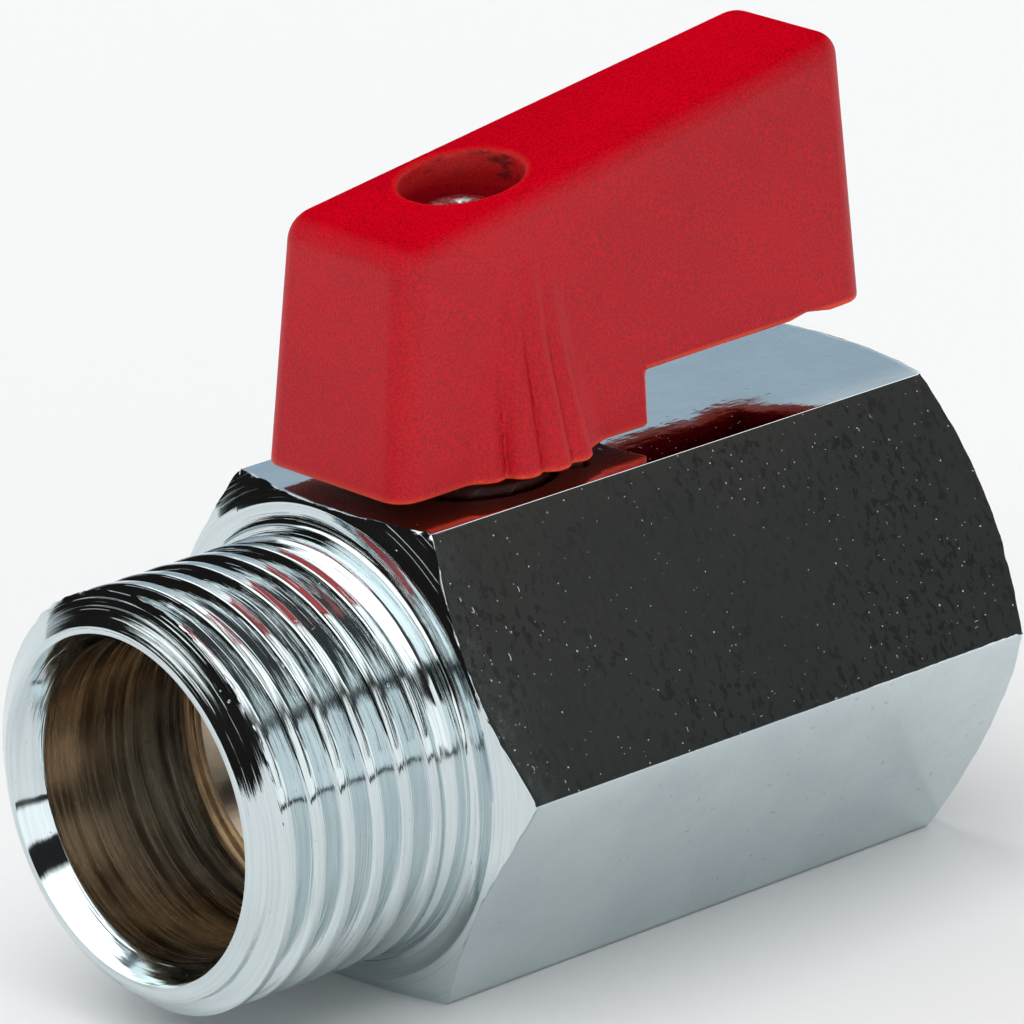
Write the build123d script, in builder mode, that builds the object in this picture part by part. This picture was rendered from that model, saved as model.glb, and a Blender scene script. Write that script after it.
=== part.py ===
"""Mini ball valve for gas, G 1/2 male by G 1/2 female, with a lever handle.

Millimetres. X runs along the flow, from the male end (-X) to the female end (+X). Z is the
stem's axis. The origin is the foot of that axis, on the lower flat of the hexagon. Heights
named "above the flow axis" are measured from the pipe's centre line.
"""

import os
from math import cos, radians, tan

from build123d import *

# ---- driving dimensions: body ---------------------------------------------------------------
across_flats = 24.0
hex_edge_round = 0.15
shoulder_x = -9.8
female_end_x = 24.6
male_end_x = -22.3
end_chamfer_circle_r = 11.85
end_chamfer_angle = 30.0
step_rise = 0.3
step_setback = 0.35
flare_margin = 0.05

# ---- driving dimensions: G 1/2 pipe thread ---------------------------------------------------
thread_major_r = 20.955 / 2
thread_minor_r = 18.631 / 2
thread_pitch = 1.814
thread_flank_angle = 27.5
male_first_crest_x = -21.1
male_crests = 6
male_crest_width = 0.5
male_root_width = 0.3
male_lead_in_r = 9.1
female_first_crest_x = 22.8
female_crests = 6
female_lead_in_margin = 0.4

# ---- driving dimensions: waterway ------------------------------------------------------------
male_bore_r = 7.9
mouth_r = 8.63
mouth_depth = 1.5
port_r = 5.0
chamber_end_x = 8.2
female_floor_x = 11.5
female_relief_r = 10.6

# ---- driving dimensions: ball, seats and retainer --------------------------------------------
ball_r = 7.8
ball_slot_width = 3.0
ball_slot_floor = 5.8
seat_clearance = 0.02
seat_inner_x = 4.8
seat_bore_r = 5.3
seat_outer_r = 7.85
retainer_front_x = -11.6
retainer_funnel_r = 7.2
retainer_edge = 0.2
retainer_slot_width = 1.6
retainer_slot_depth = 1.2

# ---- driving dimensions: stem, heights above the flow axis -----------------------------------
stem_r = 3.0
stem_hole_r = 3.05
collar_r = 4.2
collar_bottom = 7.9
collar_top = 8.9
washer_top = 9.4
washer_r = 4.3
collar_pocket_r = 4.4
tang_bottom = 5.95
tang_width = 2.9
tang_length = 7.2
o_ring_levels = (10.85, 13.25)
o_ring_section_r = 0.44
o_ring_groove_width = 1.3
o_ring_groove_r = 2.15
stem_shoulder = 17.6
stem_top = 21.3
stem_across_flats = 4.4
stem_tapping_depth = 7.5
stem_edge = 0.4

# ---- driving dimensions: stem boss and its stop lug ------------------------------------------
boss_r = 4.0
boss_root = 10.0
boss_top = 16.8
boss_edge = 0.4
lug_r = 5.4
lug_top = 15.0
lug_span = 80.0
stop_travel = 90.0
stop_slack = 0.5
joining_overlap = 0.5

# ---- driving dimensions: lever handle --------------------------------------------------------
skirt_bottom = 12.8
arm_underside = 15.6
skirt_left_x = -9.0
skirt_right_x = 7.3
top_left_x = -7.6
tip_bottom_x = 22.5
tip_top_x = 21.7
tip_relief = ((17.2, 15.6), (18.3, 15.78), (20.0, 15.5))
top_height = 26.15
top_slope = 0.15
half_width_left = 5.15
half_width_tip = 4.5
side_draft = 2.0
corner_round = 1.4
top_round = 1.2
flute_angles = (-34.0, -16.0, 1.0, 17.0)
flute_r = 1.05
flute_circle_r = 5.9
boss_cover_r = 6.2
boss_cover_height = 9.0
boss_cover_scale = 0.68
pocket_r = 5.6
pocket_step = 15.2
upper_pocket_r = 4.6
web_bottom = 21.5
web_top = 22.3
screw_recess_r = 3.05
screw_clearance_r = 1.65
arm_wall = 1.3
arm_roof = 1.7
core_tip_allowance = 0.5
core_draft = 0.3
plan_margin = 2.0
seat_play = 0.05
rib_clearance = 0.2

# ---- driving dimensions: M3 x 8 pan head screw -----------------------------------------------
screw_r = 1.48
screw_tapping_r = 1.5
screw_length = 8.0
screw_head_r = 2.8
screw_head_height = 2.4
cross_width = 0.75
cross_span = 3.0
cross_depth = 1.3
cross_taper = 12.0
screw_point_edge = 0.4
crown_share = 0.55
crown_mid_share = 0.88
crown_mid_r_share = 0.75

# ---- worked out from the driving dimensions --------------------------------------------------
flow_height = across_flats / 2
hex_corner_r = across_flats / 2 / cos(radians(30))
end_chamfer_run = (hex_corner_r - end_chamfer_circle_r) * tan(radians(end_chamfer_angle))
flank_slope = tan(radians(thread_flank_angle))
male_flank_run = (thread_pitch - male_crest_width - male_root_width) / 2
male_thread_depth = male_flank_run / flank_slope
flank_run = (thread_major_r - thread_minor_r) * flank_slope
crest_width = thread_pitch / 2 - flank_run
female_last_crest_x = female_first_crest_x - (female_crests - 1) * thread_pitch

# The section plane holds both axes: its x is the flow direction, its y the height above the
# flow axis. The cross plane looks along the flow.
section = Plane(origin=(0, 0, flow_height), x_dir=(1, 0, 0), z_dir=(0, -1, 0))
flow_axis = Axis((0, 0, flow_height), (1, 0, 0))


def cross_plane(x):
    """Plane square to the flow at x, with Y to its right and Z up."""
    return Plane(origin=(x, 0, flow_height), x_dir=(0, 1, 0), z_dir=(1, 0, 0))


def level(height):
    """Horizontal plane at a height above the flow axis."""
    return Plane.XY.offset(flow_height + height)


def ring_sector(inner_r, outer_r, start_angle, span):
    """Flat ring sector about the stem's axis."""
    with BuildSketch() as sector:
        with BuildLine():
            outer = CenterArc((0, 0), outer_r, start_angle, span)
            inner = CenterArc((0, 0), inner_r, start_angle, span)
            Line(outer @ 0, inner @ 0)
            Line(outer @ 1, inner @ 1)
        make_face()
    return sector.sketch


# ---- valve body ------------------------------------------------------------------------------
# A hexagon bar, forged and turned: male thread, hexagon, female thread, boss for the stem.
with BuildPart() as valve_body:
    with BuildSketch(cross_plane(shoulder_x)):
        RegularPolygon(radius=across_flats / 2, side_count=6, major_radius=False)
    extrude(amount=female_end_x - shoulder_x)
    fillet(valve_body.edges().filter_by(Axis.X), radius=hex_edge_round)

    # Both ends of the hexagon are turned to a 30 degree cone.
    with BuildSketch(section):
        Polygon(
            (shoulder_x, 0),
            (shoulder_x, end_chamfer_circle_r),
            (shoulder_x + end_chamfer_run, hex_corner_r),
            (female_end_x - end_chamfer_run, hex_corner_r),
            (female_end_x, end_chamfer_circle_r),
            (female_end_x, 0),
            align=None,
        )
    revolve(axis=flow_axis, mode=Mode.INTERSECT)

    # Male spigot with its lead-in cone, and the low step and flare at the shoulder.
    step_r = thread_major_r + step_rise
    step_x = shoulder_x - step_setback
    flare_top_r = end_chamfer_circle_r - flare_margin
    with BuildSketch(section):
        Polygon(
            (male_end_x, 0),
            (male_end_x, male_lead_in_r),
            (male_first_crest_x - male_crest_width / 2, thread_major_r),
            (step_x, thread_major_r),
            (step_x, step_r),
            (shoulder_x, flare_top_r),
            (0, flare_top_r),
            (0, 0),
            align=None,
        )
    revolve(axis=flow_axis)

    # Thread grooves: V rings at the thread's pitch, with the last one half deep.
    root_half = male_root_width / 2
    with BuildSketch(section):
        for turn in range(male_crests):
            groove_x = male_first_crest_x + (turn + 0.5) * thread_pitch
            depth_share = 1.0 if turn < male_crests - 1 else 0.5
            mouth_half = root_half + male_flank_run * depth_share
            root_r = thread_major_r - male_thread_depth * depth_share
            Polygon(
                (groove_x - mouth_half, thread_major_r),
                (groove_x - root_half, root_r),
                (groove_x + root_half, root_r),
                (groove_x + mouth_half, thread_major_r),
                align=None,
            )
    revolve(axis=flow_axis, mode=Mode.SUBTRACT)

    # Bore from the male end: conical mouth, plain bore up to the ball, port.
    with BuildSketch(section):
        Polygon(
            (male_end_x, 0),
            (male_end_x, mouth_r),
            (male_end_x + mouth_depth, male_bore_r),
            (chamber_end_x, male_bore_r),
            (chamber_end_x, port_r),
            (female_floor_x, port_r),
            (female_floor_x, 0),
            align=None,
        )
    revolve(axis=flow_axis, mode=Mode.SUBTRACT)

    # Female socket: lead-in, core hole, relief at its bottom, and the thread's V rings.
    root_half = crest_width / 2
    lead_in_r = thread_major_r + female_lead_in_margin
    lead_in_run = lead_in_r - thread_minor_r
    relief_start_x = female_last_crest_x - crest_width / 2
    with BuildSketch(section):
        Polygon(
            (female_floor_x, 0),
            (female_floor_x, female_relief_r),
            (relief_start_x - flank_run, female_relief_r),
            (relief_start_x, thread_minor_r),
            (female_end_x - lead_in_run, thread_minor_r),
            (female_end_x, lead_in_r),
            (female_end_x, 0),
            align=None,
        )
        for turn in range(female_crests - 1):
            groove_x = female_first_crest_x - (turn + 0.5) * thread_pitch
            Polygon(
                (groove_x - root_half - flank_run, thread_minor_r),
                (groove_x - root_half, thread_major_r),
                (groove_x + root_half, thread_major_r),
                (groove_x + root_half + flank_run, thread_minor_r),
                align=None,
            )
    revolve(axis=flow_axis, mode=Mode.SUBTRACT)

    # Boss round the stem, with the lug that the handle stops against.
    with BuildSketch(level(boss_root)):
        Circle(boss_r)
    extrude(amount=boss_top - boss_root)
    chamfer(valve_body.faces().sort_by(Axis.Z)[-1].edges(), length=boss_edge)
    with BuildSketch(level(flow_height - joining_overlap)):
        add(ring_sector(boss_r - joining_overlap, lug_r, -lug_span / 2, lug_span))
    extrude(amount=lug_top - flow_height + joining_overlap)

    # Stem hole, with a wider pocket below for the collar and its washer.
    with BuildSketch(level(0)):
        Circle(stem_hole_r)
    extrude(amount=boss_top, mode=Mode.SUBTRACT)
    with BuildSketch(level(0)):
        Circle(collar_pocket_r)
    extrude(amount=washer_top, mode=Mode.SUBTRACT)

# ---- seat retainer: brass ring screwed into the male bore ------------------------------------
with BuildPart() as seat_retainer:
    funnel_end_x = retainer_front_x + retainer_funnel_r - seat_bore_r
    with BuildSketch(section):
        Polygon(
            (retainer_front_x, retainer_funnel_r),
            (retainer_front_x, male_bore_r - retainer_edge),
            (retainer_front_x + retainer_edge, male_bore_r),
            (-chamber_end_x, male_bore_r),
            (-chamber_end_x, seat_bore_r),
            (funnel_end_x, seat_bore_r),
            align=None,
        )
    revolve(axis=flow_axis)
    # Two driver slots across the front face.
    with BuildSketch(cross_plane(retainer_front_x)):
        Rectangle(retainer_slot_width, 2 * male_bore_r)
    extrude(amount=retainer_slot_depth, mode=Mode.SUBTRACT)


# ---- seats: two PTFE rings, one each side of the ball ----------------------------------------
def seat_ring(start_x, end_x):
    """Seat ring between two places along the flow, hollowed to fit the ball."""
    with BuildPart() as ring:
        with BuildSketch(section):
            Polygon(
                (start_x, seat_bore_r),
                (start_x, seat_outer_r),
                (end_x, seat_outer_r),
                (end_x, seat_bore_r),
                align=None,
            )
            Circle(ball_r + seat_clearance, mode=Mode.SUBTRACT)
        revolve(axis=flow_axis)
    return ring


seat_male_side = seat_ring(-chamber_end_x, -seat_inner_x)
seat_female_side = seat_ring(seat_inner_x, chamber_end_x)

# ---- ball: bored through, with a slot across its top for the stem's tang -----------------------
with BuildPart() as ball:
    with Locations((0, 0, flow_height)):
        Sphere(ball_r)
    with BuildSketch(cross_plane(-ball_r)):
        Circle(port_r)
    extrude(amount=2 * ball_r, mode=Mode.SUBTRACT)
    with BuildSketch(level(ball_slot_floor)):
        Rectangle(ball_slot_width, 2 * ball_r)
    extrude(amount=ball_r, mode=Mode.SUBTRACT)

# ---- stem ------------------------------------------------------------------------------------
# Fitted from inside the body, so its collar can't blow out. The tang turns the ball, the two
# grooves hold O-rings and the flats at the top drive the handle.
with BuildPart() as stem:
    with BuildSketch(section):
        Polygon(
            (0, collar_bottom),
            (collar_r, collar_bottom),
            (collar_r, collar_top),
            (stem_r, collar_top),
            (stem_r, stem_top - stem_edge),
            (stem_r - stem_edge, stem_top),
            (0, stem_top),
            align=None,
        )
        for ring_level in o_ring_levels:
            low = ring_level - o_ring_groove_width / 2
            with Locations((o_ring_groove_r, low)):
                Rectangle(
                    stem_r, o_ring_groove_width, align=(Align.MIN, Align.MIN), mode=Mode.SUBTRACT
                )
    revolve(axis=Axis.Z)
    with BuildSketch(level(tang_bottom)):
        Rectangle(tang_width, tang_length)
    extrude(amount=collar_bottom - tang_bottom + joining_overlap)
    # Two flats above the shoulder.
    with BuildSketch(level(stem_shoulder)):
        Circle(2 * stem_r)
        Rectangle(4 * stem_r, stem_across_flats, mode=Mode.SUBTRACT)
    extrude(amount=stem_top - stem_shoulder, mode=Mode.SUBTRACT)
    # Tapped hole for the handle's screw.
    with BuildSketch(level(stem_top)):
        Circle(screw_tapping_r)
    extrude(amount=-stem_tapping_depth, mode=Mode.SUBTRACT)

with BuildPart() as stem_thrust_washer:
    with BuildSketch(level(collar_top)):
        Circle(washer_r)
        Circle(stem_hole_r, mode=Mode.SUBTRACT)
    extrude(amount=washer_top - collar_top)


def o_ring(height):
    """O-ring round the stem at a height above the flow axis."""
    with BuildPart() as ring:
        with BuildSketch(section):
            with Locations(((o_ring_groove_r + stem_hole_r) / 2, height)):
                Circle(o_ring_section_r)
        revolve(axis=Axis.Z)
    return ring


stem_o_ring_lower = o_ring(o_ring_levels[0])
stem_o_ring_upper = o_ring(o_ring_levels[1])


# ---- lever handle ----------------------------------------------------------------------------
def top_at(x):
    """Height of the handle's sloping top face above the flow axis."""
    return top_height + top_slope * x


def half_width_at(x):
    """Half the handle's width at the height of the skirt's lower edge."""
    share = (x - skirt_left_x) / (tip_bottom_x - skirt_left_x)
    return half_width_left + (half_width_tip - half_width_left) * share


with BuildPart() as lever_handle:
    # Plan outline with moulding draft, tapering towards the tip.
    plan_left = skirt_left_x - plan_margin
    plan_right = tip_bottom_x + plan_margin
    with BuildSketch(level(skirt_bottom)):
        Polygon(
            (plan_left, -half_width_at(plan_left)),
            (plan_right, -half_width_at(plan_right)),
            (plan_right, half_width_at(plan_right)),
            (plan_left, half_width_at(plan_left)),
            align=None,
        )
    extrude(amount=top_at(plan_right) - skirt_bottom, taper=side_draft)

    # Side outline: skirt, notch, raised arm and sloping top.
    with BuildSketch(section):
        Polygon(
            (skirt_left_x, skirt_bottom),
            (skirt_right_x, skirt_bottom),
            (skirt_right_x, arm_underside),
            *tip_relief,
            (tip_bottom_x, arm_underside),
            (tip_top_x, top_at(tip_top_x)),
            (top_left_x, top_at(top_left_x)),
            align=None,
        )
    extrude(amount=2 * half_width_left, both=True, mode=Mode.INTERSECT)

    # Rounded corners: the four upright ones, then the edge of the top face.
    upright = (
        lever_handle.edges()
        .filter_by(lambda edge: abs(edge.tangent_at(0).Z) > 0.9)
        .filter_by(lambda edge: abs(edge.center().X - skirt_right_x) > corner_round)
    )
    fillet(upright, radius=corner_round)
    fillet(lever_handle.faces().sort_by(Axis.Z)[-1].edges(), radius=top_round)

    # Fluted cover over the stem boss, fading into the sides as it rises.
    for height, scale in ((0, 1.0), (boss_cover_height, boss_cover_scale)):
        with BuildSketch(level(skirt_bottom + height)):
            Circle(boss_cover_r * scale)
            for side in (-1, 1):
                for angle in flute_angles:
                    turn = side * (90 - angle)
                    with PolarLocations(flute_circle_r * scale, 1, start_angle=turn):
                        Circle(flute_r * scale)
    loft(ruled=True)

    # Pocket over the body's boss: wide where it clears the lug, narrower above.
    with BuildSketch(level(skirt_bottom)):
        Circle(pocket_r)
    extrude(amount=pocket_step - skirt_bottom, mode=Mode.SUBTRACT)
    with BuildSketch(level(skirt_bottom)):
        Circle(upper_pocket_r)
    extrude(amount=stem_shoulder - skirt_bottom, mode=Mode.SUBTRACT)
    # Stop rib: the lug has the quarter turn left over between the rib's two ends.
    with BuildSketch(level(skirt_bottom)):
        rib_start = lug_span / 2 + stop_travel + stop_slack
        rib_span = 360 - lug_span - stop_travel - 2 * stop_slack
        add(ring_sector(boss_r + rib_clearance, pocket_r + joining_overlap, rib_start, rib_span))
    extrude(amount=pocket_step - skirt_bottom)

    # Seat for the stem's flats, screw hole through the web, recess for the screw's head.
    with BuildSketch(level(stem_shoulder)):
        Circle(stem_hole_r)
        Rectangle(2 * stem_hole_r, stem_across_flats + 2 * seat_play, mode=Mode.INTERSECT)
    extrude(amount=web_bottom - stem_shoulder, mode=Mode.SUBTRACT)
    with BuildSketch(level(web_bottom)):
        Circle(screw_clearance_r)
    extrude(amount=web_top - web_bottom, mode=Mode.SUBTRACT)
    with BuildSketch(level(web_top)):
        Circle(screw_recess_r)
    extrude(amount=2 * (top_height - web_top), mode=Mode.SUBTRACT)

    # The arm is cored out from below.
    core_left = skirt_right_x + arm_wall
    core_right = tip_bottom_x - arm_wall - core_tip_allowance
    core_half = half_width_at(core_right) - arm_wall
    with BuildSketch(section):
        Polygon(
            (core_left, skirt_bottom),
            (core_right, skirt_bottom),
            (core_right - core_draft, top_at(core_right) - arm_roof),
            (core_left + core_draft, top_at(core_left) - arm_roof),
            align=None,
        )
    extrude(amount=core_half, both=True, mode=Mode.SUBTRACT)

# ---- handle screw: M3 x 8, pan head with a cross recess ----------------------------------------
with BuildPart() as handle_screw:
    head_top = web_top + screw_head_height
    crown_start = web_top + crown_share * screw_head_height
    with BuildSketch(section):
        with BuildLine():
            Polyline(
                (0, head_top),
                (0, web_top - screw_length),
                (screw_r - screw_point_edge, web_top - screw_length),
                (screw_r, web_top - screw_length + screw_point_edge),
                (screw_r, web_top),
                (screw_head_r, web_top),
                (screw_head_r, crown_start),
            )
            ThreePointArc(
                (screw_head_r, crown_start),
                (crown_mid_r_share * screw_head_r, web_top + crown_mid_share * screw_head_height),
                (0, head_top),
            )
        make_face()
    revolve(axis=Axis.Z)
    with BuildSketch(level(head_top)):
        Rectangle(cross_span, cross_width)
        Rectangle(cross_width, cross_span)
    extrude(amount=-cross_depth, taper=cross_taper, mode=Mode.SUBTRACT)

# ---- export ----------------------------------------------------------------------------------
pieces = {
    "valve_body": valve_body,
    "seat_retainer": seat_retainer,
    "seat_male_side": seat_male_side,
    "seat_female_side": seat_female_side,
    "ball": ball,
    "stem": stem,
    "stem_thrust_washer": stem_thrust_washer,
    "stem_o_ring_lower": stem_o_ring_lower,
    "stem_o_ring_upper": stem_o_ring_upper,
    "lever_handle": lever_handle,
    "handle_screw": handle_screw,
}

os.makedirs("parts", exist_ok=True)
for name, piece in pieces.items():
    piece.part.label = name
    export_step(piece.part, f"parts/{name}.step")
    print(name, "volume", round(piece.part.volume, 1), "solids", len(piece.part.solids()))
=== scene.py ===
"""Looks of the mini ball valve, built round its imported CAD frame. Sizes in the code are millimetres
unless a name says otherwise; every object is in metres in the row's frame."""

import math

import bmesh
import bpy
import numpy as np
from mathutils import Matrix, Vector


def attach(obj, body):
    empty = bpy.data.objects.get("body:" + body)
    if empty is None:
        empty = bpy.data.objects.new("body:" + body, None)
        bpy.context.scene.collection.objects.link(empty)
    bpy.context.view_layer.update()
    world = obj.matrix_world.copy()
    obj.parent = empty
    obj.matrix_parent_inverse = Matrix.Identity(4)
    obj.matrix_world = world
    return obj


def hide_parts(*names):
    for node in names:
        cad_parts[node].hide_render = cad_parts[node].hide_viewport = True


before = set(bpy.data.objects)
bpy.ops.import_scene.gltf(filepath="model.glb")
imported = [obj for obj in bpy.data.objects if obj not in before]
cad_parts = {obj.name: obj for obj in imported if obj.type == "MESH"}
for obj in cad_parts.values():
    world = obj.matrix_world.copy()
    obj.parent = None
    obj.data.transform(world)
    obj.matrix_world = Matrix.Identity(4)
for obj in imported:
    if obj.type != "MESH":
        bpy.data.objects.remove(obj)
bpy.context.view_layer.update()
MM = 0.001
FLOW = 12.0  # height of the flow axis over the lower flat

# ---- camera ----------------------------------------------------------------------------------
camera = bpy.data.objects.new("camera", bpy.data.cameras.new("camera"))
bpy.context.scene.collection.objects.link(camera)
bpy.context.scene.camera = camera
CAMERA_RIGHT = Vector((0.742548, -0.669084, -0.030813))
CAMERA_UP = Vector((0.244944, 0.228446, 0.942239))
CAMERA_BACK = Vector((-0.623398, -0.707205, 0.333520))
CAMERA_PLACE = Vector((-276.793, -316.870, 157.917 + FLOW))
SENSOR_WIDTH, LENS = 36.0, 325.26
pose = Matrix((CAMERA_RIGHT, CAMERA_UP, CAMERA_BACK)).transposed().to_4x4()
pose.translation = CAMERA_PLACE * MM
camera.matrix_world = pose
camera.data.sensor_width = SENSOR_WIDTH
camera.data.lens = LENS
camera.data.clip_start = 0.01
camera.data.clip_end = 20.0
bpy.context.scene.view_settings.view_transform = "Standard"


# ---- node helpers ----------------------------------------------------------------------------
class Nodes:
    """Short-hand for building one node tree."""

    def __init__(self, tree):
        self.tree = tree
        tree.nodes.clear()

    def put(self, socket, value):
        """Links a socket, or sets a value; one number fills a colour or a vector."""
        if isinstance(value, bpy.types.NodeSocket):
            self.tree.links.new(value, socket)
        elif isinstance(value, (int, float)) and hasattr(socket.default_value, "__len__"):
            count = len(socket.default_value)
            socket.default_value = [value] * 3 + [1.0] * (count - 3)
        elif isinstance(value, tuple) and len(value) == 3 and len(socket.default_value) == 4:
            socket.default_value = (*value, 1.0)
        else:
            socket.default_value = value

    def add(self, kind, inputs=(), out=0, **settings):
        """Adds a node with its inputs and settings, and gives one of its outputs."""
        node = self.tree.nodes.new(kind)
        for key, value in settings.items():
            setattr(node, key, value)
        for key, value in dict(inputs).items():
            self.put(node.inputs[key], value)
        return node.outputs[out]

    def math(self, operation, a, b=0.0, c=0.0):
        return self.add("ShaderNodeMath", {0: a, 1: b, 2: c}, operation=operation)

    def stretch(self, where, factors):
        return self.add("ShaderNodeVectorMath", {0: where, 1: factors}, operation="MULTIPLY")

    def axes(self, vector):
        node = self.tree.nodes.new("ShaderNodeSeparateXYZ")
        self.put(node.inputs[0], vector)
        return node.outputs[:]

    def noise(self, where, scale, detail, roughness):
        return self.add(
            "ShaderNodeTexNoise",
            {"Vector": where, "Scale": scale, "Detail": detail, "Roughness": roughness},
        )

    def remap(self, value, low, high, to_low=0.0, to_high=1.0, smooth=True):
        kind = "SMOOTHSTEP" if smooth else "LINEAR"
        return self.add(
            "ShaderNodeMapRange",
            {"Value": value, 1: low, 2: high, 3: to_low, 4: to_high},
            interpolation_type=kind,
        )

    def blend(self, share, a, b):
        node = self.tree.nodes.new("ShaderNodeMix")
        node.data_type = "RGBA"
        self.put(node.inputs["Factor"], share)
        self.put(node.inputs["A"], a)
        self.put(node.inputs["B"], b)
        return node.outputs["Result"]

    def bump(self, height, distance):
        return self.add("ShaderNodeBump", {"Height": height, "Distance": distance, "Strength": 1.0})


def material(name):
    """A new material, and its emptied node tree."""
    made = bpy.data.materials.new(name)
    made.use_nodes = True
    return made, Nodes(made.node_tree)


def surface(n, **inputs):
    """Ends a material with a Principled shader."""
    named = {key.replace("_", " "): value for key, value in inputs.items()}
    shader = n.add("ShaderNodeBsdfPrincipled", named)
    output = n.tree.nodes.new("ShaderNodeOutputMaterial")
    n.tree.links.new(shader, output.inputs[0])


def around_flow(n):
    """Object position, then its place along the flow, its distance from the flow axis, and its
    side and lift from that axis, in metres."""
    where = n.add("ShaderNodeTexCoord", out="Object")
    along, side, height = n.axes(where)
    lift = n.math("SUBTRACT", height, FLOW * MM)
    square = n.math("ADD", n.math("POWER", side, 2.0), n.math("POWER", lift, 2.0))
    return where, along, n.math("SQRT", square), side, lift


# ---- finishes --------------------------------------------------------------------------------
CHROME = (0.665, 0.745, 0.76)
STAINED_CHROME = (0.585, 0.665, 0.69)
METAL_BUMP, BRASS_BUMP, PLASTIC_BUMP = 0.000015, 0.000014, 0.000040  # metres


def specks(n, where, scale, radius, share):
    """Small round marks, 1 in a mark and 0 outside, in a share of the cells."""
    cells = n.tree.nodes.new("ShaderNodeTexVoronoi")
    n.put(cells.inputs["Vector"], where)
    n.put(cells.inputs["Scale"], scale)
    pick = n.add("ShaderNodeSeparateColor", {0: cells.outputs["Color"]})
    size = n.math("MULTIPLY", n.remap(pick, 1.0 - share, 1.0, 0.35, 1.0, smooth=False), radius)
    inside = n.remap(n.math("DIVIDE", cells.outputs["Distance"], size), 0.6, 1.0, 1.0, 0.0)
    return n.math("MULTIPLY", inside, n.math("GREATER_THAN", pick, 1.0 - share))


def forged_chrome():
    """Bright plating over the forged flats: orange peel, drawn streaks, pits and scratches."""
    made, n = material("chrome_forged")
    where = n.add("ShaderNodeTexCoord", out="Object")
    drawn = n.stretch(where, (0.22, 1.0, 1.0))
    peel = n.noise(where, 430.0, 2.0, 0.5)
    streak = n.noise(drawn, 1300.0, 3.0, 0.6)
    ripple = n.noise(where, 2400.0, 2.0, 0.5)
    along, side, lift = n.axes(where)
    near_side = n.remap(side, -7.2 * MM, -6.8 * MM, 1.0, 0.0)
    near_side = n.math("MULTIPLY", near_side, n.remap(lift, FLOW * MM, (FLOW + 0.2) * MM))
    spread = n.math("ADD", n.noise(where, 95.0, 3.0, 0.6), n.math("MULTIPLY", along, 5.0))
    worn = n.remap(spread, 0.42, 0.66, 0.25, 1.0)
    pits = specks(n, where, 2300.0, 0.13, 0.12)
    dust = specks(n, where, 4200.0, 0.19, 0.14)
    dashes = specks(n, n.stretch(where, (0.35, 1.0, 1.0)), 2300.0, 0.22, 0.25)
    nicks = specks(n, n.stretch(where, (1.0, 0.4, 0.4)), 2000.0, 0.20, 0.2)
    scuffs = n.math("MULTIPLY", n.math("MAXIMUM", dashes, nicks), worn)
    marks = n.math("MAXIMUM", pits, n.math("MULTIPLY", dust, worn))
    height = n.math("ADD", peel, n.math("MULTIPLY", streak, 0.45))
    height = n.math("ADD", height, n.math("MULTIPLY", ripple, 0.16))
    height = n.math("SUBTRACT", height, n.math("MULTIPLY", marks, 0.9))
    height = n.math("SUBTRACT", height, n.math("MULTIPLY", scuffs, 0.25))
    scars = n.noise(n.stretch(where, (1.0, 0.6, 0.6)), 2800.0, 3.0, 0.6)
    scars = n.math("MULTIPLY", n.remap(scars, 0.54, 0.60), worn)
    normal = n.bump(height, METAL_BUMP)
    smudge = n.noise(where, 160.0, 4.0, 0.6)
    rough = n.remap(smudge, 0.35, 0.7, 0.03, 0.075)
    rough = n.math("MAXIMUM", rough, n.math("MULTIPLY", marks, 0.42))
    colour = n.blend(n.remap(smudge, 0.3, 0.75), CHROME, STAINED_CHROME)
    scars = n.math("MULTIPLY", scars, n.remap(near_side, 0.0, 1.0, 0.04, 0.5, smooth=False))
    tint = n.math("ADD", n.math("MULTIPLY", scuffs, 0.4), scars)
    colour = n.blend(tint, colour, (0.16, 0.18, 0.19))
    surface(n, Base_Color=colour, Metallic=1.0, Roughness=rough, Normal=normal)
    return made


def turned_chrome():
    """Bright plating over turned faces: fine rings round the flow axis."""
    made, n = material("chrome_turned")
    where, along, radius, side, lift = around_flow(n)
    run = n.math("ADD", along, radius)
    rings_at = n.add("ShaderNodeCombineXYZ", {0: n.math("MULTIPLY", run, 60.0), 1: side, 2: lift})
    fine = n.noise(rings_at, 150.0, 3.0, 0.6)
    coarse = n.noise(rings_at, 45.0, 2.0, 0.5)
    dent = n.noise(where, 900.0, 2.0, 0.5)
    grooves = n.remap(n.noise(rings_at, 95.0, 2.0, 0.5), 0.60, 0.66)
    calm = n.remap(radius, 10.9 * MM, 11.7 * MM, 1.0, 0.3)
    height = n.math("ADD", n.math("MULTIPLY", fine, 0.45), coarse)
    height = n.math("ADD", height, n.math("MULTIPLY", dent, 0.3))
    height = n.math("SUBTRACT", height, n.math("MULTIPLY", grooves, 0.55))
    height = n.math("MULTIPLY", height, calm)
    pits = specks(n, where, 1900.0, 0.2, 0.1)
    height = n.math("SUBTRACT", height, pits)
    normal = n.bump(height, METAL_BUMP)
    patch = n.noise(where, 240.0, 3.0, 0.6)
    rough = n.remap(patch, 0.35, 0.7, 0.035, 0.1)
    colour = n.blend(n.remap(fine, 0.35, 0.6), STAINED_CHROME, CHROME)
    surface(n, Base_Color=colour, Metallic=1.0, Roughness=rough, Normal=normal)
    return made


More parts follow.
